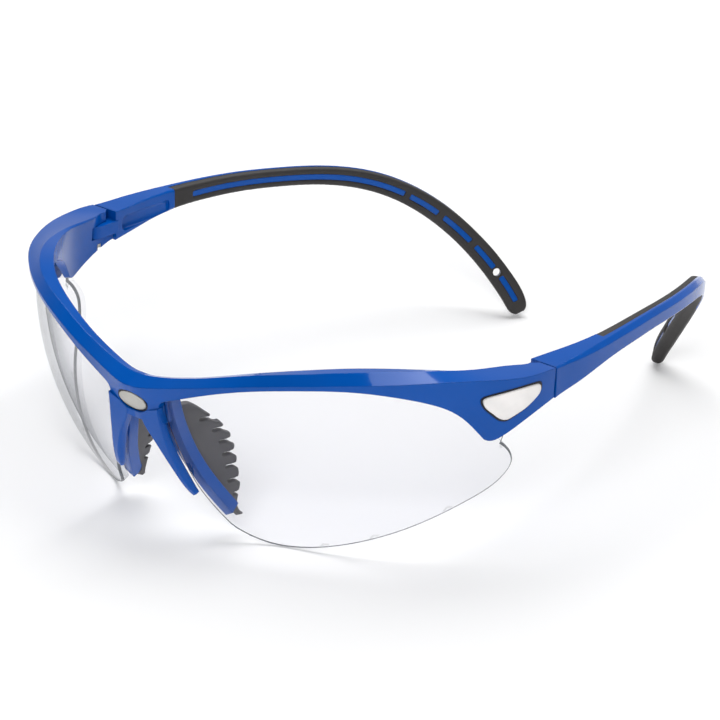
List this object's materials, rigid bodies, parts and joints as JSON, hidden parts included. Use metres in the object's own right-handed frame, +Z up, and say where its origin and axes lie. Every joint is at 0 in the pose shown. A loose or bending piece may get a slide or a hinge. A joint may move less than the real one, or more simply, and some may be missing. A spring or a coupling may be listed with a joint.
{
  "type": "sports safety glasses",
  "caption": "Half-rim wraparound sports safety glasses with clear lenses, soft nose pads and folding arms with rubber ear grips.",
  "frame": {"origin": "on the table, midway between the sides and midway between the front of the bridge and the back of the ear tips", "axes": "+Z up as it stands on its lens bottoms and ear tips, the wearer looks along -Y, +X is the wearer's left"},
  "size_m": [0.1364, 0.1542, 0.0461],
  "materials": {
    "frame_blue": "glossy royal blue injection moulding",
    "lens_clear": "clear polished polycarbonate",
    "soft_rubber": "matte dark warm grey",
    "badge_silver": "pearly silver, plain",
    "bezel_dark": "dark satin backing",
    "screw_steel": "plain steel"
  },
  "bodies": {
    "front": {"front_frame": "frame_blue", "nose_bracket": "frame_blue", "lens_left": "lens_clear", "lens_right": "lens_clear", "nose_pad_left": "soft_rubber", "nose_pad_right": "soft_rubber", "centre_badge": "badge_silver", "centre_badge_bezel": "bezel_dark", "side_badge_left": "badge_silver", "side_badge_right": "badge_silver", "side_badge_bezel_left": "bezel_dark", "side_badge_bezel_right": "bezel_dark", "hinge_screw_left": "screw_steel", "hinge_screw_right": "screw_steel"},
    "arm_left": {"temple_core_left": "frame_blue", "temple_grip_left": "soft_rubber"},
    "arm_right": {"temple_core_right": "frame_blue", "temple_grip_right": "soft_rubber"}
  },
  "joints": [
    {"name": "fold_left", "type": "hinge", "parent": "front", "child": "arm_left", "pos_m": [0.0628, -0.0252, 0.03865], "axis": [0, 0, 1], "range_deg": [0, 75]},
    {"name": "fold_right", "type": "hinge", "parent": "front", "child": "arm_right", "pos_m": [-0.0628, -0.0252, 0.03865], "axis": [0, 0, -1], "range_deg": [0, 62]}
  ]
}
